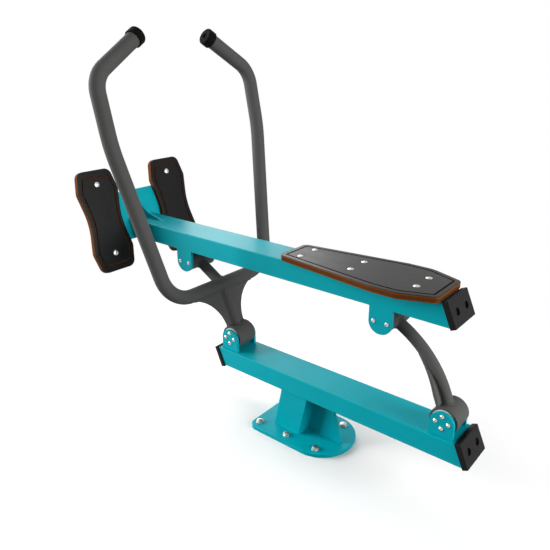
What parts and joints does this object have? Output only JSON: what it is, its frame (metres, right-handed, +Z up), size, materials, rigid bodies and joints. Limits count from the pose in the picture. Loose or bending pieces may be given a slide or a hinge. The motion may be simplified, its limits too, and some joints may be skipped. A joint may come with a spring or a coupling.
{
  "type": "outdoor rowing machine",
  "caption": "Outdoor rowing machine: a seat beam with footrest swings on parallel links over a pedestal-mounted base beam, driven by a bent two-handed lever.",
  "frame": {"origin": "centre of the ground-anchor pattern, on the underside of the base plate", "axes": "+X along the beams from the footrest to the seat's back end, +Y across the machine, +Z up"},
  "size_m": [1.2365, 0.604, 1.0929],
  "materials": {
    "main_frame": "satin powder coat, turquoise",
    "moving_frame": "matt powder coat, dark grey",
    "boards": "charcoal skin over a brown core, fine grain",
    "caps": "black, fine grain",
    "fasteners": "stainless, bright",
    "machined_steel": "turned",
    "bearings": "bearing plastic",
    "buffers": "black rubber"
  },
  "bodies": {
    "base": {"base_plate": "main_frame", "pedestal_post": "main_frame", "pedestal_gusset": "main_frame", "base_beam": "main_frame", "base_front_cap": "caps", "base_rear_cap": "caps", "anchor_nuts": "fasteners", "anchor_washers": "fasteners", "front_lower_ear_left": "main_frame", "front_lower_ear_right": "main_frame", "rear_lower_ear_left": "main_frame", "rear_lower_ear_right": "main_frame", "front_lower_axle": "machined_steel", "rear_lower_axle": "machined_steel", "front_lower_axle_screws": "fasteners", "rear_lower_axle_screws": "fasteners", "stop_key": "machined_steel"},
    "lever": {"lever_lower_hub": "moving_frame", "lever_lower_stem": "moving_frame", "lever_web_left": "moving_frame", "lever_web_right": "moving_frame", "handlebar": "moving_frame", "lever_upper_stem": "moving_frame", "lever_upper_hub": "moving_frame", "grip_cap_left": "caps", "grip_cap_right": "caps", "lever_lower_bushes": "bearings", "lever_upper_bushes": "bearings", "stop_ring": "machined_steel", "stop_buffers": "buffers"},
    "rear_link": {"rear_link_lower_hub": "moving_frame", "rear_link_arm": "moving_frame", "rear_link_fin_left": "moving_frame", "rear_link_fin_right": "moving_frame", "rear_link_upper_hub": "moving_frame", "rear_link_lower_bushes": "bearings", "rear_link_upper_bushes": "bearings"},
    "seat_frame": {"seat_beam": "main_frame", "seat_beam_cap": "caps", "front_upper_ear_left": "main_frame", "front_upper_ear_right": "main_frame", "rear_upper_ear_left": "main_frame", "rear_upper_ear_right": "main_frame", "front_upper_axle": "machined_steel", "rear_upper_axle": "machined_steel", "front_upper_axle_screws": "fasteners", "rear_upper_axle_screws": "fasteners", "footrest_cross_plate": "main_frame", "footrest_rib": "main_frame", "foot_plate_left": "main_frame", "foot_plate_right": "main_frame", "foot_pad_left": "boards", "foot_pad_right": "boards", "foot_pad_screws": "fasteners", "foot_pad_nuts": "fasteners", "seat_pad": "boards", "seat_pad_screws": "fasteners", "seat_pad_nuts": "fasteners"}
  },
  "joints": [
    {"name": "lever_swing", "type": "hinge", "parent": "base", "child": "lever", "pos_m": [-0.241, 0, 0.228], "axis": [0, 1, 0], "range_deg": [0, 35]},
    {"name": "seat_swing", "type": "hinge", "parent": "lever", "child": "seat_frame", "pos_m": [-0.41347, 0, 0.43574], "axis": [0, 1, 0], "range_deg": [-35, 0]},
    {"name": "rear_link_swing", "type": "hinge", "parent": "base", "child": "rear_link", "pos_m": [0.433, 0, 0.228], "axis": [0, 1, 0], "range_deg": [0, 35]}
  ],
  "couplings": [
    {"joint": "seat_swing", "follows": "lever_swing", "ratio": -1},
    {"joint": "rear_link_swing", "follows": "lever_swing", "ratio": 1}
  ]
}
